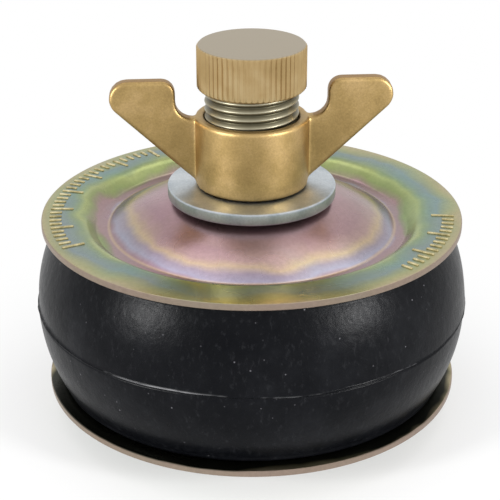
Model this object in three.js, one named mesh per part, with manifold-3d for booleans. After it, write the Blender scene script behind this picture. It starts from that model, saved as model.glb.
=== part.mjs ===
// Expanding drain test cap for a 100 mm drain, standing on the foot of its hollow spindle.
// Millimetres, +Z up. The origin is on the spindle's axis, at the underside of the foot.
import * as THREE from 'three';
import { mergeVertices } from 'three/addons/utils/BufferGeometryUtils.js';
import Module from 'manifold-3d';

// Clearances: between seated faces, round the thread, and round the spindle in a loose hole
const seatGap = 0.3;
const threadGap = 0.3;
const holeGap = 0.5;

// Spindle: 1/2 inch pipe thread outside, open bore, round foot
const threadDiameter = 20.955;
const spindleWall = 3;
const spindleChamfer = 1;
const boreChamfer = 0.6;
const footDiameter = 32;
const footThickness = 3;
const footEdge = 0.5;
const weldLeg = 2.8;
const weldCrown = 0.4;

// Pressed steel plates, upper and lower alike
const plateDiameter = 95.4;
const plateThickness = 1.8;
const rimWidth = 9.5;
const rimEdge = 0.4;
const shoulderRadius = 3;
const wallAngle = 47;
const troughDepth = 3;
const troughWidth = 2.8;
const troughFillet = 0.9;
const crownRise = 3.9;
const crownDiameter = 30;

// Rubber ring: barrel-shaped, narrower at its ends than the plates and wider at its middle
const ringHeight = 37.2;
const ringSetback = 2.6;
const ringBulge = 4.7;
const ringSlack = 0.8;
const ringEdge = 1.2;

// Plain washer under the nut
const washerDiameter = 38;
const washerThickness = 2.7;
const washerEdge = 0.4;

// Brass wing nut
const hubWall = 1.9;
const hubHeight = 15.9;
const hubEdge = 1;
const hubFootEdge = 0.5;
const nutCountersink = 0.7;
const wingReach = 31.4;
const wingRise = 8.4;
const wingThickness = 3.4;
const wingRounding = 0.8;
const wingToeHeight = 1;
const wingGap = 4.2;
const wingTipRadius = 4;
const wingShoulderRadius = 3;
const wingCrotchRadius = 3.7;
const wingCrotchDip = 0.3;
const wingRootFillet = 2;
const wingRootInset = 0.3;
const nutYaw = 4;

// Brass cap, with the rubber disc that it presses on the spindle's end
const threadShowing = 6.4;
const capWall = 1.35;
const capHeight = 9.8;
const capTop = 2;
const capEdge = 0.6;
const capMouthChamfer = 0.5;
const fluteCount = 60;
const fluteDepth = 0.35;
const sealThickness = 1.5;

// Smoothness
const largeSegments = 48;
const smallSegments = 40;
const arcSteps = 3;

// Radii that several pieces share
const threadRadius = threadDiameter / 2;
const nutBoreRadius = threadRadius + threadGap;
const holeRadius = threadRadius + holeGap;
const boreRadius = threadRadius - spindleWall;
const footRadius = footDiameter / 2;
const plateRadius = plateDiameter / 2;
const hubRadius = nutBoreRadius + hubWall;
const capRadius = nutBoreRadius + capWall;
const wingHeight = hubHeight + wingRise;

// Heights, stacked from the foot up
const lowerRimZ = footThickness + seatGap + crownRise;
const ringSeatZ = lowerRimZ + plateThickness;
const topRimZ = ringSeatZ + ringHeight + plateThickness;
const washerZ = topRimZ + crownRise + seatGap;
const nutZ = washerZ + washerThickness + seatGap;
const capZ = nutZ + hubHeight + threadShowing;
const capInsideZ = capZ + capHeight - capTop;
const sealZ = capInsideZ - seatGap - sealThickness;
const spindleTopZ = sealZ - seatGap;

const radians = THREE.MathUtils.degToRad;
const degrees = THREE.MathUtils.radToDeg;
const point = (radius, z) => new THREE.Vector2(radius, z);

// Where the pressed section's flat rim, wall, trough and dome meet, as radii and a sphere.
const rimFlatRadius = plateRadius - rimWidth + shoulderRadius * Math.tan(radians(wallAngle / 2));
const wallFootRadius = plateRadius - rimWidth - troughDepth / Math.tan(radians(wallAngle));
const creaseRadius = wallFootRadius - troughWidth;
const crownRadius = crownDiameter / 2;
const domeCentreZ =
  (crownRadius ** 2 + crownRise ** 2 - creaseRadius ** 2 - troughDepth ** 2) / (2 * (crownRise + troughDepth));
const domeRadius = Math.hypot(crownRadius, crownRise - domeCentreZ);

// Points along a round stretch of a section, both ends included.
function arc(centre, size, fromDegrees, toDegrees, steps = arcSteps) {
  return Array.from({ length: steps + 1 }, (_, i) => {
    const angle = radians(fromDegrees + ((toDegrees - fromDegrees) * i) / steps);
    return point(centre.x + size * Math.cos(angle), centre.y + size * Math.sin(angle));
  });
}

// A closed section turned once round the Z axis, with its faces pointing out.
function turned(section, segments) {
  const outline = THREE.ShapeUtils.isClockWise(section) ? [...section].reverse() : [...section];
  outline.push(outline[0].clone());
  return new THREE.LatheGeometry(outline, segments).rotateX(Math.PI / 2);
}

// A flat outline made a solid along its own Z axis, centred on it, with rounded edges if asked.
function slab(shape, thickness, rounding = 0) {
  const geometry = new THREE.ExtrudeGeometry(shape, {
    depth: thickness - 2 * rounding,
    bevelEnabled: rounding > 0,
    bevelThickness: rounding,
    bevelSize: rounding,
    bevelOffset: -rounding,
    bevelSegments: arcSteps,
  });
  return geometry.translate(0, 0, rounding - thickness / 2);
}

const wasm = await Module();
wasm.setup();

// A closed geometry as a solid, without the triangles that merging its vertices leaves without area.
function solid(geometry) {
  const bare = geometry.clone();
  bare.deleteAttribute('normal');
  bare.deleteAttribute('uv');
  const merged = mergeVertices(bare, 1e-4);
  const corners = [];
  for (let i = 0; i < merged.index.count; i += 3) {
    const [a, b, c] = merged.index.array.slice(i, i + 3);
    if (a !== b && b !== c && c !== a) corners.push(a, b, c);
  }
  const vertProperties = new Float32Array(merged.attributes.position.array);
  const triVerts = new Uint32Array(corners);
  return new wasm.Manifold(new wasm.Mesh({ numProp: 3, vertProperties, triVerts }));
}

function geometryOf(manifold) {
  const mesh = manifold.getMesh();
  const geometry = new THREE.BufferGeometry();
  geometry.setAttribute('position', new THREE.BufferAttribute(mesh.vertProperties, 3));
  geometry.setIndex(new THREE.BufferAttribute(mesh.triVerts, 1));
  geometry.computeVertexNormals();
  return geometry;
}

// The outer face of a plate, from the rim inwards: flat rim, shoulder, wall, trough, dome, flat crown.
function plateFace() {
  const shoulder = point(rimFlatRadius, -shoulderRadius);
  const filletSetback = troughFillet * Math.tan(radians(wallAngle / 2));
  const fillet = point(wallFootRadius - filletSetback, troughFillet - troughDepth);
  const domeAngle = (radius) => degrees(Math.acos(radius / domeRadius));
  return [
    point(plateRadius, -rimEdge),
    point(plateRadius - rimEdge, 0),
    ...arc(shoulder, shoulderRadius, 90, 90 + wallAngle),
    ...arc(fillet, troughFillet, wallAngle - 90, -90, arcSteps - 1),
    ...arc(point(0, domeCentreZ), domeRadius, domeAngle(creaseRadius), domeAngle(crownRadius), arcSteps + 1),
    point(holeRadius, crownRise),
  ];
}

// One point of the sheet's back, square to the face's stretches on both sides of that point.
function backPoint(face, i) {
  const after = i + 1 < face.length ? face[i + 1].clone().sub(face[i]).normalize() : null;
  const before = i > 1 ? face[i].clone().sub(face[i - 1]).normalize() : after;
  const along = before.clone().add(after ?? before).normalize();
  const depth = plateThickness / along.dot(before);
  return point(face[i].x - along.y * depth, face[i].y + along.x * depth);
}

function plateSection() {
  const face = plateFace();
  const back = face.map((_, i) => backPoint(face, i)).slice(1).reverse();
  return [...face, ...back, point(plateRadius, rimEdge - plateThickness)];
}

function topPlate() {
  return turned(plateSection().map((p) => point(p.x, topRimZ + p.y)), largeSegments);
}

function lowerPlate() {
  return turned(plateSection().map((p) => point(p.x, lowerRimZ - p.y)), largeSegments);
}

function spindle() {
  return turned([
    point(boreRadius + boreChamfer, 0),
    point(footRadius - footEdge, 0),
    point(footRadius, footEdge),
    point(footRadius, footThickness - footEdge),
    point(footRadius - footEdge, footThickness),
    point(threadRadius, footThickness),
    point(threadRadius, spindleTopZ - spindleChamfer),
    point(threadRadius - spindleChamfer, spindleTopZ),
    point(boreRadius + boreChamfer, spindleTopZ),
    point(boreRadius, spindleTopZ - boreChamfer),
    point(boreRadius, boreChamfer),
  ], smallSegments);
}

// Fillet of weld from the foot's edge to the lower plate, which domes away from the foot.
function footWeld() {
  const domeHeight = (radius) => domeCentreZ + Math.sqrt(domeRadius ** 2 - radius ** 2);
  const plateZ = (radius) => lowerRimZ - Math.min(domeHeight(radius), crownRise) - seatGap;
  const root = point(footRadius + seatGap, footEdge + seatGap);
  const toe = point(root.x + weldLeg, plateZ(root.x + weldLeg) - seatGap);
  const bulge = root.clone().lerp(toe, 0.5).add(point(weldCrown, -weldCrown));
  const plateSide = point(toe.x, plateZ(toe.x));
  return turned([root, bulge, toe, plateSide, point(root.x, plateZ(root.x))], smallSegments);
}

// The ring's side is one arc through its two ends and its middle. Its mouths clear the plates' troughs.
function rubberRing() {
  const bottom = ringSeatZ + seatGap;
  const top = ringSeatZ + ringHeight - seatGap;
  const middle = (bottom + top) / 2;
  const endRadius = plateRadius - ringSetback;
  const halfSide = (top - bottom) / 2 - ringEdge;
  const barrelRadius = (halfSide ** 2 + ringBulge ** 2) / (2 * ringBulge);
  const swing = degrees(Math.asin(halfSide / barrelRadius));
  const barrelCentre = point(endRadius + ringBulge - barrelRadius, middle);
  const innerRadius = wallFootRadius + plateThickness + ringSlack;
  const mouthDepth = (rimFlatRadius - innerRadius) * Math.tan(radians(wallAngle));
  return turned([
    point(rimFlatRadius, bottom),
    point(endRadius - ringEdge, bottom),
    ...arc(barrelCentre, barrelRadius, -swing, swing, 3 * arcSteps),
    point(endRadius - ringEdge, top),
    point(rimFlatRadius, top),
    point(innerRadius, top - mouthDepth),
    point(innerRadius, bottom + mouthDepth),
  ], largeSegments);
}

function clampWasher() {
  const outer = washerDiameter / 2;
  const top = washerZ + washerThickness;
  return turned([
    point(holeRadius, washerZ),
    point(outer - washerEdge, washerZ),
    point(outer, washerZ + washerEdge),
    point(outer, top - washerEdge),
    point(outer - washerEdge, top),
    point(holeRadius + washerEdge, top),
    point(holeRadius, top - washerEdge),
  ], smallSegments);
}

function hub() {
  return turned([
    point(nutBoreRadius + nutCountersink, 0),
    point(hubRadius - hubFootEdge, 0),
    point(hubRadius, hubFootEdge),
    ...arc(point(hubRadius - hubEdge, hubHeight - hubEdge), hubEdge, 0, 90),
    point(nutBoreRadius + nutCountersink, hubHeight),
    point(nutBoreRadius, hubHeight - nutCountersink),
    point(nutBoreRadius, nutCountersink),
  ], smallSegments);
}

// One wing seen flat, from its root in the hub's wall: sloping underside, round tip, level top, crotch.
function wingOutline(rootRadius) {
  const toe = point(hubRadius, wingToeHeight);
  const tip = point(wingReach - wingTipRadius, wingHeight - wingTipRadius);
  const toTip = tip.clone().sub(toe);
  const slope = degrees(toTip.angle() - Math.asin(wingTipRadius / toTip.length()));
  const innerEdge = hubRadius + wingGap;
  const shoulder = point(innerEdge + wingShoulderRadius, wingHeight - wingShoulderRadius);
  const crotchZ = hubHeight - wingCrotchDip;
  const crotch = point(innerEdge - wingCrotchRadius, crotchZ + wingCrotchRadius);
  return new THREE.Shape([
    point(rootRadius, wingToeHeight),
    toe,
    ...arc(tip, wingTipRadius, slope - 90, 90, 3 * arcSteps),
    ...arc(shoulder, wingShoulderRadius, 90, 180, 2 * arcSteps),
    ...arc(crotch, wingCrotchRadius, 0, -90, 2 * arcSteps),
    point(rootRadius, crotchZ),
  ]);
}

// The wing's root seen from above, flaring into the hub with a hollow fillet on each side.
function rootPlan(rootRadius) {
  const centreY = wingThickness / 2 + wingRootFillet;
  const centreX = Math.sqrt((hubRadius + wingRootFillet) ** 2 - centreY ** 2);
  const hubAngle = degrees(Math.atan2(centreY, centreX));
  const onHubY = hubRadius * Math.sin(radians(hubAngle));
  return new THREE.Shape([
    point(rootRadius, -onHubY),
    ...arc(point(centreX, -centreY), wingRootFillet, 180 - hubAngle, 90, 2 * arcSteps),
    ...arc(point(centreX, centreY), wingRootFillet, -90, hubAngle - 180, 2 * arcSteps),
    point(rootRadius, onHubY),
  ]);
}

function wingNut() {
  const rootRadius = nutBoreRadius + wingRootInset;
  const outline = wingOutline(rootRadius);
  const stand = (geometry) => solid(geometry.rotateX(Math.PI / 2));
  const wing = stand(slab(outline, wingThickness, wingRounding));
  const wideWing = stand(slab(outline, wingThickness + 2 * wingRootFillet));
  const flare = solid(slab(rootPlan(rootRadius), 2 * wingHeight)).intersect(wideWing);
  const rightWing = wing.add(flare);
  return geometryOf(solid(hub()).add(rightWing).add(rightWing.rotate([0, 0, 180])));
}

function capSeal() {
  const radius = nutBoreRadius - threadGap;
  return new THREE.CylinderGeometry(radius, radius, sealThickness, smallSegments).rotateX(Math.PI / 2);
}

// The cap's turned shell, open below, before its flutes are cut.
function capBlank() {
  return turned([
    point(0, capHeight - capTop),
    point(nutBoreRadius, capHeight - capTop),
    point(nutBoreRadius, capMouthChamfer),
    point(nutBoreRadius + capMouthChamfer, 0),
    point(capRadius - capEdge, 0),
    point(capRadius, capEdge),
    point(capRadius, capHeight - capEdge),
    point(capRadius - capEdge, capHeight),
    point(0, capHeight),
  ], 2 * fluteCount);
}

// Straight flutes: a star-shaped prism that the blank is cut by.
function fluteStar() {
  const corners = Array.from({ length: 2 * fluteCount }, (_, i) => {
    const radius = i % 2 ? capRadius - fluteDepth : capRadius;
    const angle = (Math.PI * i) / fluteCount;
    return point(radius * Math.cos(angle), radius * Math.sin(angle));
  });
  return slab(new THREE.Shape(corners), 4 * capHeight);
}

function sealingCap() {
  return geometryOf(solid(capBlank()).intersect(solid(fluteStar())));
}

const steelYellow = { color: 0x8a8f6f, roughness: 0.35, metalness: 1 };
const steelGrey = { color: 0xa8a596, roughness: 0.4, metalness: 1 };
const weldSteel = { color: 0x6f6b63, roughness: 0.6, metalness: 1 };
const brass = { color: 0xb99b5f, roughness: 0.35, metalness: 1 };
const blackRubber = { color: 0x1c1c1e, roughness: 0.75, metalness: 0 };
const greyRubber = { color: 0x3a3835, roughness: 0.8, metalness: 0 };

const model = new THREE.Group();

function place(name, geometry, finish, z = 0, yaw = 0) {
  const mesh = new THREE.Mesh(geometry, new THREE.MeshStandardMaterial(finish));
  mesh.name = name;
  mesh.position.z = z;
  mesh.rotation.z = radians(yaw);
  model.add(mesh);
}

place('lower_plate', lowerPlate(), steelYellow);
place('spindle', spindle(), steelGrey);
place('foot_weld', footWeld(), weldSteel);
place('rubber_ring', rubberRing(), blackRubber);
place('top_plate', topPlate(), steelYellow);
place('clamp_washer', clampWasher(), steelGrey);
place('wing_nut', wingNut(), brass, nutZ, nutYaw);
place('cap_seal', capSeal(), greyRubber, sealZ + sealThickness / 2);
place('sealing_cap', sealingCap(), brass, capZ);

export default model;
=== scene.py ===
"""Looks of the drain test cap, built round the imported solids. Sizes in millimetres, objects in metres, +Z up."""
import math

import bmesh
import bpy
from mathutils import Matrix, Vector, noise


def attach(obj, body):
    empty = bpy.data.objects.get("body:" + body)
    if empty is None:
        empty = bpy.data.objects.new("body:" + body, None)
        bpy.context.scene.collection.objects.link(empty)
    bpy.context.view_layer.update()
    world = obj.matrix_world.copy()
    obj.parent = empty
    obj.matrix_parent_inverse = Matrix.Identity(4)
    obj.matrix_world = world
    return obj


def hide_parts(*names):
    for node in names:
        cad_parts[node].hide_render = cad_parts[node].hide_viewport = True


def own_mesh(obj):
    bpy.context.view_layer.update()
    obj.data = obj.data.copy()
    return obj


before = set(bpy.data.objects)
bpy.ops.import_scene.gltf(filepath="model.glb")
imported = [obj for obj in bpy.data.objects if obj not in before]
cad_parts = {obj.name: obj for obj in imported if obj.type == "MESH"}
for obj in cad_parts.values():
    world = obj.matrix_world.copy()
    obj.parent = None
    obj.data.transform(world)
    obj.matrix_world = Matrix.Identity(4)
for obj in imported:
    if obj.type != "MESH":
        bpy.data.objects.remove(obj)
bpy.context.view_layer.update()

MM = 0.001
SHARP_ANGLE = math.radians(38)
SECTORS = 8

# Heights of the stack, from the foot up. The sheet is drawn 0.3 mm thinner than the solids have it, as its sheared
# edges look, and the ring is 0.3 mm taller at each end to meet it.
FOOT_TOP = 3.0
LOWER_RIM = 7.2
RING_FOOT, RING_TOP = 9.0, 46.2
TOP_RIM = 48.0
WASHER_FOOT, WASHER_TOP = 52.2, 54.9
NUT_FOOT, HUB_HEIGHT = 55.2, 15.9
CAP_FOOT, CAP_HEIGHT = 77.5, 9.8
SEAL_FOOT, SEAL_TOP = 83.5, 85.0
SPINDLE_TOP = 83.2

# Spindle and its 1/2 inch pipe thread, 14 to the inch
THREAD_RADIUS = 10.4775
THREAD_PITCH = 1.814
THREAD_DEPTH = 0.8
BORE_RADIUS = 7.4775
FOOT_RADIUS = 16.0
THREAD_FOOT = 40.0

# Pressed plates, upper and lower alike
PLATE_RADIUS = 47.7
PLATE_THICKNESS = 1.5
LOWER_FACE = LOWER_RIM + PLATE_THICKNESS
SHOULDER_CORNER = 38.2
WALL_FOOT = 35.4
CREASE_RADIUS = 32.6
TROUGH_DEPTH = 3.0
CROWN_RISE = 3.9
CROWN_RADIUS = 15.0
HOLE_RADIUS = 10.98

# Rubber ring
RING_BORE = 38.0
RING_END_RADIUS = 45.1
RING_MIDDLE_RADIUS = 49.55
RING_MIDDLE = (RING_FOOT + RING_TOP) / 2
FLASH_PROUD = 0.22

# Brass: nut and cap, whose threaded bores are drawn 0.16 mm clear of the thread
THREADED_BORE = 10.64
HUB_RADIUS = 12.68
NUT_YAW = math.radians(4)
WING_REACH = 31.4
WING_HEIGHT = 24.3
WING_THICKNESS = 3.4
WING_ROOT, WING_NECK = 11.2, 16.9
NECK_HEIGHT, TIP_HEIGHT = 15.6, 18.55
CAP_RADIUS = 12.12
CAP_BEVEL = 0.45
FLUTES = 60
FLUTE_DEPTH = 0.35


# Materials

def linear(code):
    """An sRGB hex colour as linear RGBA."""
    parts = [int(code[i:i + 2], 16) / 255 for i in (0, 2, 4)]
    return tuple(c / 12.92 if c <= 0.04045 else ((c + 0.055) / 1.055) ** 2.4 for c in parts) + (1.0,)


def node(tree, kind, inputs=None, stops=None, **settings):
    """Add a node with its settings, its inputs as values or links, and a ramp's stops if it has any."""
    made = tree.nodes.new(kind)
    for name, value in settings.items():
        setattr(made, name, value)
    for key, value in (inputs or {}).items():
        if isinstance(value, bpy.types.NodeSocket):
            tree.links.new(value, made.inputs[key])
        else:
            made.inputs[key].default_value = value
    if stops:
        ramp = made.color_ramp.elements
        while len(ramp) < len(stops):
            ramp.new(0.5)
        for element, (place, code) in zip(ramp, stops):
            element.position = place
            element.color = linear(code)
    return made


def new_finish(name, surface):
    """A material whose shader has the given fixed values, with object coordinates in millimetres."""
    finish = bpy.data.materials.new(name)
    finish.use_nodes = True
    tree = finish.node_tree
    tree.nodes.clear()
    shader = node(tree, "ShaderNodeBsdfPrincipled", surface)
    node(tree, "ShaderNodeOutputMaterial", {"Surface": shader.outputs[0]})
    coords = node(tree, "ShaderNodeTexCoord")
    scaled = node(tree, "ShaderNodeVectorMath", {0: coords.outputs["Object"], "Scale": 1 / MM}, operation="SCALE")
    return finish, tree, shader, scaled.outputs[0]


def from_axis(tree, mm):
    """Distance from the Z axis, in millimetres."""
    flat = node(tree, "ShaderNodeVectorMath", {0: mm, 1: (1, 1, 0)}, operation="MULTIPLY")
    return node(tree, "ShaderNodeVectorMath", {0: flat.outputs[0]}, operation="LENGTH").outputs["Value"]


def grained(tree, mm, colour, size, darkest, lightest):
    """A colour made lighter and darker by a fine grain of the given size in millimetres."""
    grain = node(tree, "ShaderNodeTexNoise", {"Vector": mm, "Scale": 1 / size, "Detail": 4.0, "Roughness": 0.7})
    shade = node(tree, "ShaderNodeMapRange", {"Value": grain.outputs["Fac"], "From Min": 0.3, "From Max": 0.7,
                                              "To Min": darkest, "To Max": lightest})
    return node(tree, "ShaderNodeMix", {0: 1.0, 6: colour, 7: shade.outputs[0]},
                data_type="RGBA", blend_type="MULTIPLY").outputs[2]


def passivated_steel():
    """Yellow passivate on pressed, zinc-plated steel: a satin film whose tint drifts from gold through green
    and teal to pink with its thickness, so it runs in rings that follow the pressing. The lighter cream and
    lavender rings on the dome's outer slope and the lighter green at the shoulder are partly painted reflection."""
    finish, tree, shader, mm = new_finish("passivated_steel", {"Metallic": 0.9, "Roughness": 0.34})
    radius = from_axis(tree, mm)
    drift = node(tree, "ShaderNodeTexNoise", {"Vector": mm, "Scale": 1 / 16, "Detail": 2.0, "Roughness": 0.5})
    shift = node(tree, "ShaderNodeMapRange", {"Value": drift.outputs["Fac"], "From Min": 0.3, "From Max": 0.7,
                                              "To Min": -1.7, "To Max": 1.7})
    bent = node(tree, "ShaderNodeMath", {0: radius, 1: shift.outputs[0]}, operation="ADD")
    share = node(tree, "ShaderNodeMath", {0: bent.outputs[0], 1: 50.0}, operation="DIVIDE")
    # The ramp holds the film's tints. Its cream and lavender bands on the dome's outer slope (0.565 to 0.635) and the
    # lighter green at the shoulder (0.765) are also partly painted reflection of the slope facing the light.
    rings = node(tree, "ShaderNodeValToRGB", {"Fac": share.outputs[0]}, stops=[
        (0.20, "a4868a"), (0.40, "a4838a"), (0.48, "9c7d84"), (0.53, "a68a88"), (0.565, "bca688"),
        (0.60, "958b9c"), (0.635, "9f9db4"), (0.66, "9c7f8c"), (0.70, "a08288"), (0.715, "8c886e"),
        (0.735, "87985c"), (0.765, "a0ae6c"), (0.79, "80986f"), (0.82, "749084"), (0.86, "769092"),
        (0.885, "88967a"), (0.915, "9ea372"), (0.945, "aea87a"), (0.96, "b2a984")])
    patch = node(tree, "ShaderNodeTexNoise", {"Vector": mm, "Scale": 1 / 24, "Detail": 3.0, "Distortion": 0.6})
    patched = node(tree, "ShaderNodeValToRGB", {"Fac": patch.outputs["Fac"]}, stops=[
        (0.36, "8f9f92"), (0.5, "9d9078"), (0.62, "a88c92")])
    mixed = node(tree, "ShaderNodeMix", {0: 0.2, 6: rings.outputs[0], 7: patched.outputs[0]}, data_type="RGBA")
    # Painted highlight: a thin orange-gold line at the crease at the dome's foot, where the fillet would catch the
    # light.
    off_crease = node(tree, "ShaderNodeMath", {0: radius, 1: CREASE_RADIUS}, operation="SUBTRACT")
    beside = node(tree, "ShaderNodeMath", {0: off_crease.outputs[0]}, operation="ABSOLUTE")
    crease_highlight = node(tree, "ShaderNodeMapRange", {"Value": beside.outputs[0], "From Min": 0.1, "From Max": 0.55,
                                                "To Min": 0.5, "To Max": 0.0})
    creased = node(tree, "ShaderNodeMix", {0: crease_highlight.outputs[0], 6: mixed.outputs[2], 7: linear("c8b090")},
                   data_type="RGBA")
    # The sheared edge keeps little of the film, so it shows a pinkish grey.
    sheared = node(tree, "ShaderNodeMapRange", {"Value": radius, "From Min": PLATE_RADIUS - 0.3,
                                                "From Max": PLATE_RADIUS - 0.1, "To Max": 0.75})
    edged = node(tree, "ShaderNodeMix", {0: sheared.outputs[0], 6: creased.outputs[2], 7: linear("9c8780")},
                 data_type="RGBA")
    # Painted shade and reflection of the dark ring: the lower plate's face beside the ring is darkened to near black.
    height = node(tree, "ShaderNodeSeparateXYZ", {0: mm})
    lain_on = node(tree, "ShaderNodeMapRange", {"Value": height.outputs["Z"], "From Min": LOWER_FACE - 0.3,
                                                "From Max": LOWER_FACE - 0.05})
    below = node(tree, "ShaderNodeMath", {0: height.outputs["Z"], 1: RING_FOOT}, operation="LESS_THAN")
    inside = node(tree, "ShaderNodeMapRange", {"Value": bent.outputs[0], "From Min": PLATE_RADIUS + 0.9,
                                               "From Max": PLATE_RADIUS - 0.5})
    ring_shade = node(tree, "ShaderNodeMath", {0: lain_on.outputs[0], 1: below.outputs[0]}, operation="MULTIPLY")
    ring_shade = node(tree, "ShaderNodeMath", {0: ring_shade.outputs[0], 1: inside.outputs[0]}, operation="MULTIPLY")
    ring_shaded = node(tree, "ShaderNodeMix", {0: ring_shade.outputs[0], 6: edged.outputs[2], 7: linear("2d2e25")},
                   data_type="RGBA")
    grain = node(tree, "ShaderNodeTexNoise", {"Vector": mm, "Scale": 1 / 0.9, "Detail": 5.0, "Roughness": 0.7})
    shade = node(tree, "ShaderNodeMapRange", {"Value": grain.outputs["Fac"], "From Min": 0.3, "From Max": 0.7,
                                              "To Min": 0.9, "To Max": 1.08})
    toned = node(tree, "ShaderNodeMix", {0: 1.0, 6: ring_shaded.outputs[2], 7: shade.outputs[0]},
                 data_type="RGBA", blend_type="MULTIPLY")
    tree.links.new(toned.outputs[2], shader.inputs["Base Color"])
    gloss = node(tree, "ShaderNodeMapRange", {"Value": drift.outputs["Fac"], "From Min": 0.3, "From Max": 0.7,
                                              "To Min": 0.22, "To Max": 0.36})
    dulled = node(tree, "ShaderNodeMath", {0: sheared.outputs[0], 1: 0.2, 2: gloss.outputs[0]},
                  operation="MULTIPLY_ADD")
    tree.links.new(dulled.outputs[0], shader.inputs["Roughness"])
    dents = node(tree, "ShaderNodeTexNoise", {"Vector": mm, "Scale": 1 / 5, "Detail": 3.0})
    wavy = node(tree, "ShaderNodeBump", {"Strength": 0.35, "Distance": 0.1 * MM, "Height": dents.outputs["Fac"]})
    fine = node(tree, "ShaderNodeBump", {"Strength": 0.2, "Distance": 0.02 * MM, "Height": grain.outputs["Fac"],
                                         "Normal": wavy.outputs[0]})
    tree.links.new(fine.outputs[0], shader.inputs["Normal"])
    return finish


def burnished_marks():
    """The same passivate on raised marks, rubbed through by the press tool to a bright cream gold."""
    finish, tree, shader, mm = new_finish("burnished_marks", {"Metallic": 0.9, "Roughness": 0.26})
    rub = node(tree, "ShaderNodeTexNoise", {"Vector": mm, "Scale": 1 / 1.5, "Detail": 4.0})
    tint = node(tree, "ShaderNodeValToRGB", {"Fac": rub.outputs["Fac"]}, stops=[
        (0.35, "9c9268"), (0.5, "c0b384"), (0.65, "d8cca2")])
    tree.links.new(tint.outputs[0], shader.inputs["Base Color"])
    return finish


def zinc_steel():
    """Bright zinc plate on turned steel: a cool satin grey, with fine lathe rings where the tool ran."""
    finish, tree, shader, mm = new_finish("zinc_steel", {"Metallic": 1.0, "Roughness": 0.42})
    tone = node(tree, "ShaderNodeTexNoise", {"Vector": mm, "Scale": 1 / 6, "Detail": 4.0})
    tint = node(tree, "ShaderNodeValToRGB", {"Fac": tone.outputs["Fac"]}, stops=[
        (0.35, "a9b1b7"), (0.5, "bac1c6"), (0.65, "c8cdd1")])
    tree.links.new(grained(tree, mm, tint.outputs[0], 0.5, 0.86, 1.1), shader.inputs["Base Color"])
    lathe = node(tree, "ShaderNodeTexNoise", {"Vector": node(tree, "ShaderNodeVectorMath", {
        0: mm, 1: (0.02, 0.02, 1)}, operation="MULTIPLY").outputs[0], "Scale": 1 / 0.35, "Detail": 2.0})
    cut = node(tree, "ShaderNodeBump", {"Strength": 0.4, "Distance": 0.04 * MM, "Height": lathe.outputs["Fac"]})
    tree.links.new(cut.outputs[0], shader.inputs["Normal"])
    return finish


def thread_steel():
    """Zinc plate on a cut thread: an olive grey, darker towards the roots and brighter towards the crests, with a
    little patchy grime all over.
    """
    finish, tree, shader, mm = new_finish("thread_steel", {"Metallic": 0.85, "Roughness": 0.4})
    radius = from_axis(tree, mm)
    up_flank = node(tree, "ShaderNodeMapRange", {"Value": radius, "From Min": THREAD_RADIUS - THREAD_DEPTH,
                                                 "From Max": THREAD_RADIUS})
    tint = node(tree, "ShaderNodeValToRGB", {"Fac": up_flank.outputs[0]}, stops=[
        (0.0, "4c4838"), (0.4, "645f4c"), (0.8, "857f6a"), (1.0, "a19c88")])
    grime = node(tree, "ShaderNodeTexNoise", {"Vector": mm, "Scale": 1 / 2, "Detail": 4.0})
    dulled = node(tree, "ShaderNodeMix", {0: 0.25, 6: tint.outputs[0], 7: grime.outputs["Fac"]},
                  data_type="RGBA", blend_type="OVERLAY")
    tree.links.new(dulled.outputs[2], shader.inputs["Base Color"])
    return finish


def weld_steel():
    """Fusion weld plated over with the rest: a rippled, matt grey bead with darker heat tint."""
    finish, tree, shader, mm = new_finish("weld_steel", {"Metallic": 0.8, "Roughness": 0.5})
    heat = node(tree, "ShaderNodeTexNoise", {"Vector": mm, "Scale": 1 / 2.5, "Detail": 5.0})
    tint = node(tree, "ShaderNodeValToRGB", {"Fac": heat.outputs["Fac"]}, stops=[
        (0.3, "4a4540"), (0.5, "6f6b63"), (0.7, "8c857a")])
    tree.links.new(tint.outputs[0], shader.inputs["Base Color"])
    scale = node(tree, "ShaderNodeBump", {"Strength": 0.5, "Distance": 0.08 * MM, "Height": heat.outputs["Fac"]})
    tree.links.new(scale.outputs[0], shader.inputs["Normal"])
    return finish


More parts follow.
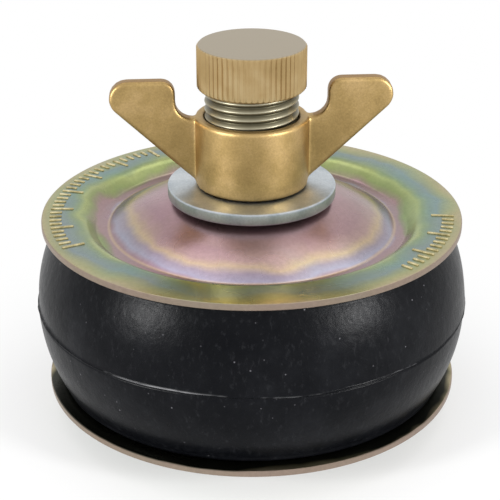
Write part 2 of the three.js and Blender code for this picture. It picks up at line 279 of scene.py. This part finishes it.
def black_rubber():
    """Compression-moulded black rubber: near-black and matt, with mould bloom, pale dust, a few scuffs, and a
    torn, greyed edge along the flash line."""
    finish, tree, shader, mm = new_finish("black_rubber", {"Roughness": 0.34, "IOR": 1.5, "Specular IOR Level": 0.07})
    bloom = node(tree, "ShaderNodeTexNoise", {"Vector": mm, "Scale": 1 / 18, "Detail": 6.0, "Roughness": 0.65})
    body = node(tree, "ShaderNodeValToRGB", {"Fac": bloom.outputs["Fac"]}, stops=[
        (0.35, "06070a"), (0.52, "0c0d10"), (0.7, "151619")])
    drawn = node(tree, "ShaderNodeVectorMath", {0: mm, 1: (1, 1, 0.45)}, operation="MULTIPLY")
    scuff = node(tree, "ShaderNodeTexNoise", {"Vector": drawn.outputs[0], "Scale": 1 / 1.1, "Detail": 8.0,
                                              "Roughness": 0.75})
    scuffs = node(tree, "ShaderNodeMapRange", {"Value": scuff.outputs["Fac"], "From Min": 0.55, "From Max": 0.78,
                                               "To Min": 0.0, "To Max": 0.34})
    scuffed = node(tree, "ShaderNodeMix", {0: scuffs.outputs[0], 6: body.outputs[0], 7: linear("3e3f42")},
                   data_type="RGBA")
    # Dust specks of about 0.3 mm, and upright hair scratches from the mould, lie in some of the cells only.
    dusty = scuffed
    for pulled, cell, fewest, most in ((1.0, 2.3, 0.5, 0.5), (0.14, 2.6, 0.76, 0.2)):
        drawn = node(tree, "ShaderNodeVectorMath", {0: mm, 1: (1, 1, pulled)}, operation="MULTIPLY")
        speck = node(tree, "ShaderNodeTexVoronoi", {"Vector": drawn.outputs[0], "Scale": 1 / cell, "Randomness": 1.0})
        some = node(tree, "ShaderNodeMapRange", {"Value": speck.outputs["Color"], "From Min": fewest,
                                                 "From Max": 0.85})
        near = node(tree, "ShaderNodeMapRange", {"Value": speck.outputs["Distance"], "From Min": 0.04,
                                                 "From Max": 0.1, "To Min": most, "To Max": 0.0})
        shown = node(tree, "ShaderNodeMath", {0: some.outputs[0], 1: near.outputs[0]}, operation="MULTIPLY")
        dusty = node(tree, "ShaderNodeMix", {0: shown.outputs[0], 6: dusty.outputs[2], 7: linear("858489")},
                     data_type="RGBA")
    flash = node(tree, "ShaderNodeAttribute", attribute_name="flash")
    torn = node(tree, "ShaderNodeMix", {0: flash.outputs["Fac"], 6: dusty.outputs[2], 7: linear("8a8a8c")},
                data_type="RGBA")
    tree.links.new(torn.outputs[2], shader.inputs["Base Color"])
    gloss = node(tree, "ShaderNodeMapRange", {"Value": scuff.outputs["Fac"], "From Min": 0.3, "From Max": 0.7,
                                              "To Min": 0.25, "To Max": 0.38})
    tree.links.new(gloss.outputs[0], shader.inputs["Roughness"])
    pocks = node(tree, "ShaderNodeTexNoise", {"Vector": mm, "Scale": 1 / 4, "Detail": 4.0, "Roughness": 0.6})
    mottled = node(tree, "ShaderNodeBump", {"Strength": 0.6, "Distance": 0.22 * MM, "Height": pocks.outputs["Fac"]})
    skin = node(tree, "ShaderNodeBump", {"Strength": 0.5, "Distance": 0.08 * MM, "Height": scuff.outputs["Fac"],
                                         "Normal": mottled.outputs[0]})
    tree.links.new(skin.outputs[0], shader.inputs["Normal"])
    return finish


def grey_rubber():
    """Seal cut from rubber sheet: dark grey, matt and slightly grained."""
    finish, tree, shader, mm = new_finish("grey_rubber", {"Roughness": 0.8, "IOR": 1.5})
    grain = node(tree, "ShaderNodeTexNoise", {"Vector": mm, "Scale": 1 / 0.5, "Detail": 3.0})
    tint = node(tree, "ShaderNodeValToRGB", {"Fac": grain.outputs["Fac"]}, stops=[
        (0.35, "33312e"), (0.65, "454340")])
    tree.links.new(tint.outputs[0], shader.inputs["Base Color"])
    return finish


def stamped_brass():
    """Hot-stamped brass, tumbled smooth: a warm satin with soft pits, slightly browned by handling."""
    finish, tree, shader, mm = new_finish("stamped_brass", {"Metallic": 1.0, "Roughness": 0.34})
    tone = node(tree, "ShaderNodeTexNoise", {"Vector": mm, "Scale": 1 / 9, "Detail": 5.0, "Roughness": 0.6})
    tint = node(tree, "ShaderNodeValToRGB", {"Fac": tone.outputs["Fac"]}, stops=[
        (0.33, "a08657"), (0.5, "ae9361"), (0.67, "bb9f6f")])
    # A browner band runs along the wings' edges.
    edge_band = node(tree, "ShaderNodeAttribute", attribute_name="edge_band")
    browned = node(tree, "ShaderNodeMix", {0: edge_band.outputs["Fac"], 6: tint.outputs[0], 7: linear("98794e")},
                   data_type="RGBA")
    tree.links.new(grained(tree, mm, browned.outputs[2], 0.45, 0.84, 1.12), shader.inputs["Base Color"])
    gloss = node(tree, "ShaderNodeMapRange", {"Value": tone.outputs["Fac"], "From Min": 0.3, "From Max": 0.7,
                                              "To Min": 0.38, "To Max": 0.5})
    tree.links.new(gloss.outputs[0], shader.inputs["Roughness"])
    pits = node(tree, "ShaderNodeTexNoise", {"Vector": mm, "Scale": 1 / 0.5, "Detail": 5.0, "Roughness": 0.7})
    skin = node(tree, "ShaderNodeBump", {"Strength": 0.6, "Distance": 0.05 * MM, "Height": pits.outputs["Fac"]})
    tree.links.new(skin.outputs[0], shader.inputs["Normal"])
    return finish


def turned_brass():
    """Turned brass: a greyer gold, with lathe rings on the flat top and bright ridges down the side."""
    finish, tree, shader, mm = new_finish("turned_brass", {"Metallic": 1.0, "Roughness": 0.38})
    flat = node(tree, "ShaderNodeVectorMath", {0: mm, 1: (1, 1, 0)}, operation="MULTIPLY")
    tone = node(tree, "ShaderNodeTexNoise", {"Vector": mm, "Scale": 1 / 8, "Detail": 4.0})
    tint = node(tree, "ShaderNodeValToRGB", {"Fac": tone.outputs["Fac"]}, stops=[
        (0.35, "b4996a"), (0.5, "bfa475"), (0.65, "c9b184")])
    # Only the faced-off top is given a grey beige.
    height = node(tree, "ShaderNodeSeparateXYZ", {0: mm})
    on_top = node(tree, "ShaderNodeMapRange", {"Value": height.outputs["Z"], "From Min": CAP_FOOT + CAP_HEIGHT - 0.25,
                                               "From Max": CAP_FOOT + CAP_HEIGHT - 0.02})
    dulled = node(tree, "ShaderNodeMix", {0: on_top.outputs[0], 6: tint.outputs[0], 7: linear("a59a86")},
                  data_type="RGBA")
    tree.links.new(dulled.outputs[2], shader.inputs["Base Color"])
    # The feed marks are about 0.1 mm apart, drawn here at 0.3 mm so that they show.
    rings = node(tree, "ShaderNodeTexWave", {"Vector": flat.outputs[0], "Scale": 0.314 / 0.3, "Distortion": 0.6,
                                             "Detail": 2.0}, wave_type="RINGS", rings_direction="Z")
    cut = node(tree, "ShaderNodeBump", {"Strength": 0.25, "Distance": 0.02 * MM, "Height": rings.outputs["Fac"]})
    tree.links.new(cut.outputs[0], shader.inputs["Normal"])
    return finish


FINISHES = {make.__name__: make() for make in (
    passivated_steel, burnished_marks, zinc_steel, thread_steel, weld_steel, black_rubber, grey_rubber,
    stamped_brass, turned_brass)}


# Pieces

def section(shape, corners):
    """Draw a closed section in the XZ plane from (radius, height, corner setback), and round its corners."""
    verts = [shape.verts.new((radius, 0, z)) for radius, z, _ in corners]
    shape.faces.new(verts)
    for setback in sorted({corner[2] for corner in corners} - {0}):
        picked = [vert for vert, corner in zip(verts, corners) if corner[2] == setback]
        bmesh.ops.bevel(shape, geom=picked, offset=setback, offset_type="OFFSET", segments=5, profile=0.5,
                        affect="VERTICES", clamp_overlap=True, material=-1)
    return shape


def turn(shape, steps):
    """Turn the section round the Z axis through one sector, then copy the sector round to close the circle."""
    bmesh.ops.delete(shape, geom=shape.faces[:], context="FACES_ONLY")
    sector = 2 * math.pi / SECTORS
    bmesh.ops.spin(shape, geom=shape.verts[:] + shape.edges[:], cent=(0, 0, 0), axis=(0, 0, 1),
                   angle=sector, steps=steps // SECTORS)
    bmesh.ops.spin(shape, geom=shape.verts[:] + shape.edges[:] + shape.faces[:], cent=(0, 0, 0), axis=(0, 0, 1),
                   angle=2 * math.pi - sector, steps=SECTORS - 1, use_duplicate=True)
    bmesh.ops.remove_doubles(shape, verts=shape.verts, dist=0.001)
    bmesh.ops.recalc_face_normals(shape, faces=shape.faces)
    return shape


def add_piece(name, shape, finish, body, slot, *nodes):
    """Make the shape an object in metres, smooth except at its sharp edges, riding on a body."""
    bmesh.ops.scale(shape, vec=(MM, MM, MM), verts=shape.verts)
    for face in shape.faces:
        face.smooth = True
    for edge in shape.edges:
        edge.smooth = edge.calc_face_angle(0) < SHARP_ANGLE
    mesh = bpy.data.meshes.new(name)
    shape.to_mesh(mesh)
    shape.free()
    mesh.materials.append(FINISHES[finish])
    made = bpy.data.objects.new(name, mesh)
    bpy.context.scene.collection.objects.link(made)
    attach(made, body)
    if nodes:
        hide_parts(*nodes)
    return made


def pressed_plate(rim, side):
    """Skin of a plate, its rim at the given height and its crown towards side (1 up, -1 down)."""
    dome_centre = ((CROWN_RADIUS ** 2 + CROWN_RISE ** 2 - CREASE_RADIUS ** 2 - TROUGH_DEPTH ** 2)
                   / (2 * (CROWN_RISE + TROUGH_DEPTH)))
    dome_radius = math.hypot(CROWN_RADIUS, CROWN_RISE - dome_centre)
    dome = [CREASE_RADIUS + (CROWN_RADIUS - CREASE_RADIUS) * i / 16 for i in range(1, 16)]
    deep = -30
    shape = section(bmesh.new(), [
        (PLATE_RADIUS, deep, 0), (PLATE_RADIUS, 0, 0), (SHOULDER_CORNER, 0, 1.3), (WALL_FOOT, -TROUGH_DEPTH, 0.4),
        (CREASE_RADIUS, -TROUGH_DEPTH, 0.25),
        *((r, dome_centre + math.sqrt(dome_radius ** 2 - r ** 2), 0) for r in dome),
        (CROWN_RADIUS, CROWN_RISE, 0.6), (HOLE_RADIUS, CROWN_RISE, 0), (HOLE_RADIUS, deep, 0)])
    bmesh.ops.delete(shape, geom=[v for v in shape.verts if v.co.z < deep / 2], context="VERTS")
    turn(shape, 256)
    bmesh.ops.transform(shape, matrix=Matrix.Translation((0, 0, rim)) @ Matrix.Diagonal((1, 1, side, 1)),
                        verts=shape.verts)
    bmesh.ops.recalc_face_normals(shape, faces=shape.faces)
    rim_face = max(shape.faces, key=lambda face: face.calc_center_median().xy.length)
    if rim_face.normal.z * side < 0:
        bmesh.ops.reverse_faces(shape, faces=shape.faces)
    return shape


def sheet_metal(made):
    """Give a skin the sheet's thickness, inwards, and break its cut edges."""
    wall = made.modifiers.new("sheet", "SOLIDIFY")
    wall.thickness = PLATE_THICKNESS * MM
    wall.offset = -1
    wall.use_even_offset = True
    edge = made.modifiers.new("edge", "BEVEL")
    edge.width = 0.3 * MM
    edge.segments = 3
    edge.limit_method = "ANGLE"
    edge.angle_limit = math.radians(50)
    edge.harden_normals = True


def rim_marks():
    """Raised ticks on the rim, long and short as on a dial, in two arcs."""
    shape = bmesh.new()
    arcs = ([124.5 + 2.75 * i for i in range(31)], [-4.5 - 2.75 * i for i in range(15)])
    for angles in arcs:
        for i, angle in enumerate(angles):
            length = 5.2 if i % 5 == 0 else 2.8
            bar = bmesh.ops.create_cube(shape, size=1)["verts"]
            bmesh.ops.scale(shape, vec=(length, 0.75, 0.56), verts=bar)
            bmesh.ops.translate(shape, vec=(45.9 - length / 2, 0, TOP_RIM), verts=bar)
            bmesh.ops.rotate(shape, cent=(0, 0, 0), matrix=Matrix.Rotation(math.radians(angle), 3, "Z"), verts=bar)
    bmesh.ops.bevel(shape, geom=shape.edges[:], offset=0.22, offset_type="OFFSET", segments=3, profile=0.5,
                    affect="EDGES", clamp_overlap=True, material=-1)
    return shape


def rubber_ring():
    """Barrel-shaped ring with rounded ends, mouths that clear the troughs, and a flash line round its middle."""
    half = (RING_TOP - RING_FOOT) / 2 - 1.2
    bulge = RING_MIDDLE_RADIUS - RING_END_RADIUS
    barrel = (half ** 2 + bulge ** 2) / (2 * bulge)
    near = 1.2
    heights = ([-half + (half - near) * i / 30 for i in range(30)] + [-near + near * i / 16 for i in range(33)]
               + [near + (half - near) * i / 30 for i in range(1, 31)])
    side = [(RING_MIDDLE_RADIUS - barrel + math.sqrt(barrel ** 2 - z ** 2), RING_MIDDLE + z, 0) for z in heights]
    shape = section(bmesh.new(), [
        (39.5, RING_FOOT, 0.4), (RING_END_RADIUS, RING_FOOT, 1.1), *side, (RING_END_RADIUS, RING_TOP, 1.1),
        (39.5, RING_TOP, 0.4), (RING_BORE, RING_TOP - 1.6, 0.6), (RING_BORE, RING_FOOT + 1.6, 0.6)])
    turn(shape, 384)
    torn = shape.verts.layers.float.new("flash")
    for vert in shape.verts:
        radius, angle = vert.co.xy.length, math.atan2(vert.co.y, vert.co.x)
        if radius < RING_BORE + 2:
            continue
        around = Vector((math.cos(angle), math.sin(angle), 0))
        waver = 0.3 * noise.noise(around * 2.1) + 0.15 * noise.noise(around * 9)
        off = vert.co.z - RING_MIDDLE - waver
        patchy = noise.noise(around * 3 + Vector((5, 0, 0)))
        flash = FLASH_PROUD * (0.75 + 0.5 * noise.noise(around * 14)) * math.exp(-(off / 0.16) ** 2)
        # The mould halves meet a little out of line, so the side steps at the flash.
        step = 0.12 * around.x * (1 if off > 0 else -1) * math.exp(-(off / 3) ** 2)
        swell = 0.06 * noise.noise(vert.co * 0.08)
        groove = 0.3 * (0.65 + 0.35 * around.x) * math.exp(-((off + 0.44) / 0.24) ** 2)
        torn_edge = 0.9 * patchy - 0.1 + 0.4 * noise.noise(around * 30) + math.exp(-((angle + 1.97) / 0.2) ** 2)
        vert[torn] = max(0, torn_edge) * math.exp(-(off / 0.14) ** 2)
        vert.co.xy *= (radius + min(flash + step + swell - 0.15, FLASH_PROUD) - groove) / radius
    return shape


def threaded_tube():
    """Helical thread of rounded 55 degree form, cut flat at its ends, chamfered on top, with the bore through it."""
    shape = bmesh.new()
    turn_steps = 80
    turns = math.ceil((SPINDLE_TOP - THREAD_FOOT) / THREAD_PITCH) + 2
    root = THREAD_RADIUS - THREAD_DEPTH
    form = [(0, 0), (0.1, 0.06), (0.4, 0.94), (0.5, 1), (0.6, 0.94), (0.9, 0.06), (1, 0)]
    verts = [shape.verts.new((root + THREAD_DEPTH * up, 0, THREAD_FOOT + THREAD_PITCH * (along - 1)))
             for along, up in form]
    edges = [shape.edges.new(pair) for pair in zip(verts, verts[1:])]
    bmesh.ops.spin(shape, geom=verts + edges, cent=(0, 0, 0), axis=(0, 0, 1), angle=2 * math.pi,
                   steps=turn_steps, dvec=(0, 0, THREAD_PITCH / turn_steps))
    first = shape.verts[:] + shape.edges[:] + shape.faces[:]
    for i in range(1, turns):
        copied = bmesh.ops.duplicate(shape, geom=first)["geom"]
        bmesh.ops.translate(shape, vec=(0, 0, THREAD_PITCH * i),
                            verts=[item for item in copied if isinstance(item, bmesh.types.BMVert)])
    bmesh.ops.remove_doubles(shape, verts=shape.verts, dist=0.004)
    for height, up in ((THREAD_FOOT, -1), (SPINDLE_TOP, 1)):
        bmesh.ops.bisect_plane(shape, geom=shape.verts[:] + shape.edges[:] + shape.faces[:], dist=0.0005,
                               plane_co=(0, 0, height), plane_no=(0, 0, up), clear_outer=True)
    for vert in shape.verts:
        limit = THREAD_RADIUS - 1 + SPINDLE_TOP - vert.co.z
        if vert.co.xy.length > limit:
            vert.co.xy *= limit / vert.co.xy.length
    ends = []
    for height in (THREAD_FOOT, SPINDLE_TOP):
        rim = [edge for edge in shape.edges
               if edge.is_boundary and all(abs(vert.co.z - height) < 0.01 for vert in edge.verts)]
        grown = bmesh.ops.extrude_edge_only(shape, edges=rim)["geom"]
        for vert in (item for item in grown if isinstance(item, bmesh.types.BMVert)):
            vert.co.xy *= BORE_RADIUS / vert.co.xy.length
        ends += [item for item in grown if isinstance(item, bmesh.types.BMEdge) and item.is_boundary]
    bmesh.ops.bridge_loops(shape, edges=ends)
    bmesh.ops.recalc_face_normals(shape, faces=shape.faces)
    return shape


def spindle_foot():
    """Round foot and the plain start of the spindle, up to its thread."""
    return turn(section(bmesh.new(), [
        (BORE_RADIUS, 0, 0.6), (FOOT_RADIUS, 0, 0.6), (FOOT_RADIUS, FOOT_TOP, 0.6), (THREAD_RADIUS, FOOT_TOP, 0.8),
        (THREAD_RADIUS, THREAD_FOOT, 0), (BORE_RADIUS, THREAD_FOOT, 0)]), 160)


def weld_bead():
    """Fillet of weld laid round the foot in overlapping ripples."""
    shape = turn(section(bmesh.new(), [
        (16.0, 0.9, 0.3), (17.6, 0.9, 0.8), (19.3, 2.6, 0.5), (18.6, 3.5, 0.3), (16.0, 3.4, 0.3)]), 360)
    for vert in shape.verts:
        angle, radius = math.atan2(vert.co.y, vert.co.x), vert.co.xy.length
        if radius < 16.4:
            continue
        laid = (angle / (2 * math.pi) * 34 + 0.12 * vert.co.z) % 1
        ripple = 0.16 * (laid - 0.5) + 0.2 * noise.noise(Vector((math.cos(angle), math.sin(angle), 0)) * 5)
        vert.co.xy *= (radius + ripple) / radius
    return shape


def washer():
    return turn(section(bmesh.new(), [
        (HOLE_RADIUS, WASHER_FOOT, 0.2), (19, WASHER_FOOT, 0.4), (19, WASHER_TOP, 0.4),
        (HOLE_RADIUS, WASHER_TOP, 0.4)]), 192)


def one_wing():
    """A wing with a sloping underside, round tip and level top, all its edges rounded."""
    shape = section(bmesh.new(), [
        (WING_ROOT, 1.2, 0), (HUB_RADIUS + 0.02, 1.0, 0), (WING_REACH, TIP_HEIGHT, 1.6),
        (WING_REACH, WING_HEIGHT, 4), (WING_NECK, WING_HEIGHT, 3), (WING_NECK, NECK_HEIGHT, 3.7),
        (WING_ROOT, NECK_HEIGHT, 0)])
    grown = bmesh.ops.extrude_face_region(shape, geom=shape.faces[:])["geom"]
    bmesh.ops.translate(shape, vec=(0, WING_THICKNESS, 0),
                        verts=[item for item in grown if isinstance(item, bmesh.types.BMVert)])
    bmesh.ops.translate(shape, vec=(0, -WING_THICKNESS / 2, 0), verts=shape.verts)
    bmesh.ops.recalc_face_normals(shape, faces=shape.faces)
    brims = [edge for edge in shape.edges if abs(edge.verts[0].co.y - edge.verts[1].co.y) < 0.01]
    bmesh.ops.bevel(shape, geom=brims, offset=0.75, offset_type="OFFSET", segments=4, profile=0.5,
                    affect="EDGES", clamp_overlap=True, material=-1)
    return shape


def wing_nut():
    """Hub and two wings fused into one stamping, with soft fillets where the wings leave the hub."""
    hub = turn(section(bmesh.new(), [
        (THREADED_BORE, 0, 0.7), (HUB_RADIUS, 0, 0.5), (HUB_RADIUS, HUB_HEIGHT, 0.8),
        (THREADED_BORE, HUB_HEIGHT, 0.4)]), 160)
    blank = bpy.data.meshes.new("wing_nut_blank")
    hub.to_mesh(blank)
    for turned_by in (0, math.pi):
        wing = one_wing()
        bmesh.ops.rotate(wing, cent=(0, 0, 0), matrix=Matrix.Rotation(turned_by, 3, "Z"), verts=wing.verts)
        spare = bpy.data.meshes.new("wing_spare")
        wing.to_mesh(spare)
        wing.free()
        hub.from_mesh(spare)
        bpy.data.meshes.remove(spare)
    hub.to_mesh(blank)
    hub.free()
    holder = bpy.data.objects.new("wing_nut_blank", blank)
    bpy.context.scene.collection.objects.link(holder)
    fuse = holder.modifiers.new("fuse", "REMESH")
    fuse.mode = "VOXEL"
    fuse.voxel_size = 0.22
    shape = bmesh.new()
    graph = bpy.context.evaluated_depsgraph_get()
    shape.from_mesh(holder.evaluated_get(graph).to_mesh())
    bpy.data.objects.remove(holder)
    bpy.data.meshes.remove(blank)
    roots = [vert for vert in shape.verts
             if HUB_RADIUS - 0.3 < vert.co.xy.length < HUB_RADIUS + 1.6 and abs(vert.co.y) < 3.4]
    for _ in range(14):
        bmesh.ops.smooth_vert(shape, verts=roots, factor=0.5, use_axis_x=True, use_axis_y=True, use_axis_z=True)
    for _ in range(2):
        bmesh.ops.smooth_vert(shape, verts=shape.verts[:], factor=0.5, use_axis_x=True, use_axis_y=True,
                              use_axis_z=True)
    edge_band = shape.verts.layers.float.new("edge_band")
    for vert in shape.verts:
        if vert.co.xy.length > HUB_RADIUS + 1:
            vert[edge_band] = min(max(2.8 - 2 * abs(vert.co.y), 0), 1)
    place = Matrix.Translation((0, 0, NUT_FOOT)) @ Matrix.Rotation(NUT_YAW, 4, "Z")
    bmesh.ops.transform(shape, matrix=place, verts=shape.verts)
    return shape


def sealing_cap():
    """Turned cap with straight flutes cut down its side, their ends showing on the two bevels."""
    top = CAP_FOOT + CAP_HEIGHT
    inside = top - 2
    bevels = [CAP_BEVEL * i / 4 for i in range(5)]
    shape = section(bmesh.new(), [
        (0, inside, 0), (THREADED_BORE, inside, 0.3), (THREADED_BORE, CAP_FOOT, 0.5),
        *((CAP_RADIUS - CAP_BEVEL + step, CAP_FOOT + step, 0) for step in bevels),
        *((CAP_RADIUS, CAP_FOOT + CAP_BEVEL + (CAP_HEIGHT - 2 * CAP_BEVEL) * i / 6, 0) for i in range(1, 6)),
        *((CAP_RADIUS - CAP_BEVEL + step, top - step, 0) for step in reversed(bevels)),
        (0, top, 0)])
    turn(shape, FLUTES * 10)
    for vert in shape.verts:
        if vert.co.xy.length > CAP_RADIUS - 1:
            share = (math.atan2(vert.co.y, vert.co.x) / (2 * math.pi) * FLUTES) % 1
            limit = CAP_RADIUS - FLUTE_DEPTH * (1 - abs(2 * share - 1)) ** 0.8
            vert.co.xy *= min(1, limit / vert.co.xy.length)
    return shape


def cap_seal():
    return turn(section(bmesh.new(), [
        (0, SEAL_FOOT, 0), (10.4, SEAL_FOOT, 0.15), (10.4, SEAL_TOP, 0.15), (0, SEAL_TOP, 0)]), 128)


sheet_metal(add_piece("lower_plate_pressing", pressed_plate(LOWER_RIM, -1), "passivated_steel", "body",
                      "passivated_steel", "lower_plate"))
sheet_metal(add_piece("top_plate_pressing", pressed_plate(TOP_RIM, 1), "passivated_steel", "clamp",
                      "passivated_steel", "top_plate"))
add_piece("rim_marks", rim_marks(), "burnished_marks", "clamp", "passivated_steel")
ring = add_piece("moulded_ring", rubber_ring(), "black_rubber", "body", "black_rubber", "rubber_ring")
add_piece("spindle_foot", spindle_foot(), "zinc_steel", "body", "zinc_steel", "spindle")
thread = add_piece("spindle_thread", threaded_tube(), "thread_steel", "body", "zinc_steel")
add_piece("weld_bead", weld_bead(), "weld_steel", "body", "weld_steel", "foot_weld")
add_piece("turned_washer", washer(), "zinc_steel", "clamp", "zinc_steel", "clamp_washer")
nut = add_piece("stamped_wing_nut", wing_nut(), "stamped_brass", "nut", "stamped_brass", "wing_nut")
add_piece("fluted_cap", sealing_cap(), "turned_brass", "cap", "turned_brass", "sealing_cap")
add_piece("cap_disc", cap_seal(), "grey_rubber", "cap_lift", "grey_rubber", "cap_seal")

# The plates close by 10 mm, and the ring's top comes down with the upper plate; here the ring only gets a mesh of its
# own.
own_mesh(ring)


# Studio: pale floor, soft light, camera

AMBIENT = 0.75
FLOOR_DROP = 0.05

def seen_rays(tree):
    """One for rays from the camera and for those that metal and glass reflect or pass, and zero for the rest."""
    rays = node(tree, "ShaderNodeLightPath")
    seen = node(tree, "ShaderNodeMath", {0: rays.outputs["Is Camera Ray"], 1: rays.outputs["Is Glossy Ray"]},
                operation="MAXIMUM")
    return node(tree, "ShaderNodeMath", {0: seen.outputs[0], 1: rays.outputs["Is Transmission Ray"]},
                operation="MAXIMUM").outputs[0]


def studio_floor():
    """Pale floor that shows the shadow round the object and fades to white away from it."""
    shape = bmesh.new()
    bmesh.ops.create_grid(shape, x_segments=1, y_segments=1, size=3)
    mesh = bpy.data.meshes.new("floor")
    shape.to_mesh(mesh)
    shape.free()
    finish = bpy.data.materials.new("studio_floor")
    finish.use_nodes = True
    tree = finish.node_tree
    tree.nodes.clear()
    paper = node(tree, "ShaderNodeBsdfDiffuse", {"Color": linear("efefef")})
    white = node(tree, "ShaderNodeEmission", {"Color": (1, 1, 1, 1), "Strength": 1.0})
    coords = node(tree, "ShaderNodeTexCoord")
    away = node(tree, "ShaderNodeVectorMath", {0: coords.outputs["Object"]}, operation="LENGTH")
    fade = node(tree, "ShaderNodeMapRange", {"Value": away.outputs["Value"], "From Min": 45 * MM,
                                             "From Max": 100 * MM, "To Min": 0.42},
                interpolation_type="SMOOTHSTEP")
    share = node(tree, "ShaderNodeMath", {0: seen_rays(tree), 1: fade.outputs[0]}, operation="MULTIPLY")
    mixed = node(tree, "ShaderNodeMixShader", {0: share.outputs[0], 1: paper.outputs[0], 2: white.outputs[0]})
    # Seen from underneath, the floor is clear, so that the foot and the lower plate can be looked at.
    clear = node(tree, "ShaderNodeBsdfTransparent")
    side = node(tree, "ShaderNodeNewGeometry")
    sided = node(tree, "ShaderNodeMixShader", {0: side.outputs["Backfacing"], 1: mixed.outputs[0],
                                               2: clear.outputs[0]})
    node(tree, "ShaderNodeOutputMaterial", {"Surface": sided.outputs[0]})
    mesh.materials.append(finish)
    floor = bpy.data.objects.new("floor", mesh)
    floor.location.z = -FLOOR_DROP * MM
    bpy.context.scene.collection.objects.link(floor)
    return floor


def studio_world(ambient):
    """White to the camera and in reflections, and a plain level of light otherwise."""
    world = bpy.data.worlds.new("studio")
    bpy.context.scene.world = world
    world.use_nodes = True
    tree = world.node_tree
    tree.nodes.clear()
    strength = node(tree, "ShaderNodeMapRange", {"Value": seen_rays(tree), "To Min": ambient, "To Max": 1.0})
    light = node(tree, "ShaderNodeBackground", {"Color": (1, 1, 1, 1), "Strength": strength.outputs[0]})
    node(tree, "ShaderNodeOutputWorld", {"Surface": light.outputs[0]})


def softbox(name, place, size, watts, lit=()):
    """A square soft light at a place in millimetres, aimed at the object's middle. Where pieces are given, it
    lights only those, so that the flat metal faces don't mirror it when seen from behind."""
    data = bpy.data.lights.new(name, "AREA")
    data.shape = "SQUARE"
    data.size = size * MM
    data.energy = watts
    lamp = bpy.data.objects.new(name, data)
    lamp.location = Vector(place) * MM
    lamp.rotation_euler = (Vector((0, 0, 40)) * MM - lamp.location).to_track_quat("-Z", "Y").to_euler()
    bpy.context.scene.collection.objects.link(lamp)
    if lit:
        lamp.light_linking.receiver_collection = bpy.data.collections.new(name + "_lit")
        for piece in lit:
            lamp.light_linking.receiver_collection.objects.link(piece)


def photo_camera():
    """The photograph's viewpoint: 24.9 degrees above level, 337 mm from the object, a long lens."""
    data = bpy.data.cameras.new("photo_camera")
    data.lens = 105.0
    data.sensor_width = 36.0
    data.clip_start = 0.01
    target = Vector((-0.38, 0, 37.88)) * MM
    elevation, distance = math.radians(24.9), 337.4 * MM
    camera = bpy.data.objects.new("photo_camera", data)
    camera.location = target + distance * Vector((0, -math.cos(elevation), math.sin(elevation)))
    camera.rotation_euler = (target - camera.location).to_track_quat("-Z", "Y").to_euler()
    bpy.context.scene.collection.objects.link(camera)
    bpy.context.scene.camera = camera


floor = studio_floor()
studio_world(AMBIENT)
for name, place, size, watts, lit in (
        ("up_left", (-230, 175, 680), 380, 0.38, ()),
        ("up_right", (265, 200, 650), 380, 0.44, ()),
        ("front_left", (-476, -331, 190), 120, 2.9, (ring, thread, nut, floor)),
        ("front_right", (476, -331, 190), 120, 2.9, (ring, thread, nut, floor))):
    softbox(name, place, size, watts, lit)
photo_camera()
bpy.context.scene.view_settings.view_transform = "Standard"
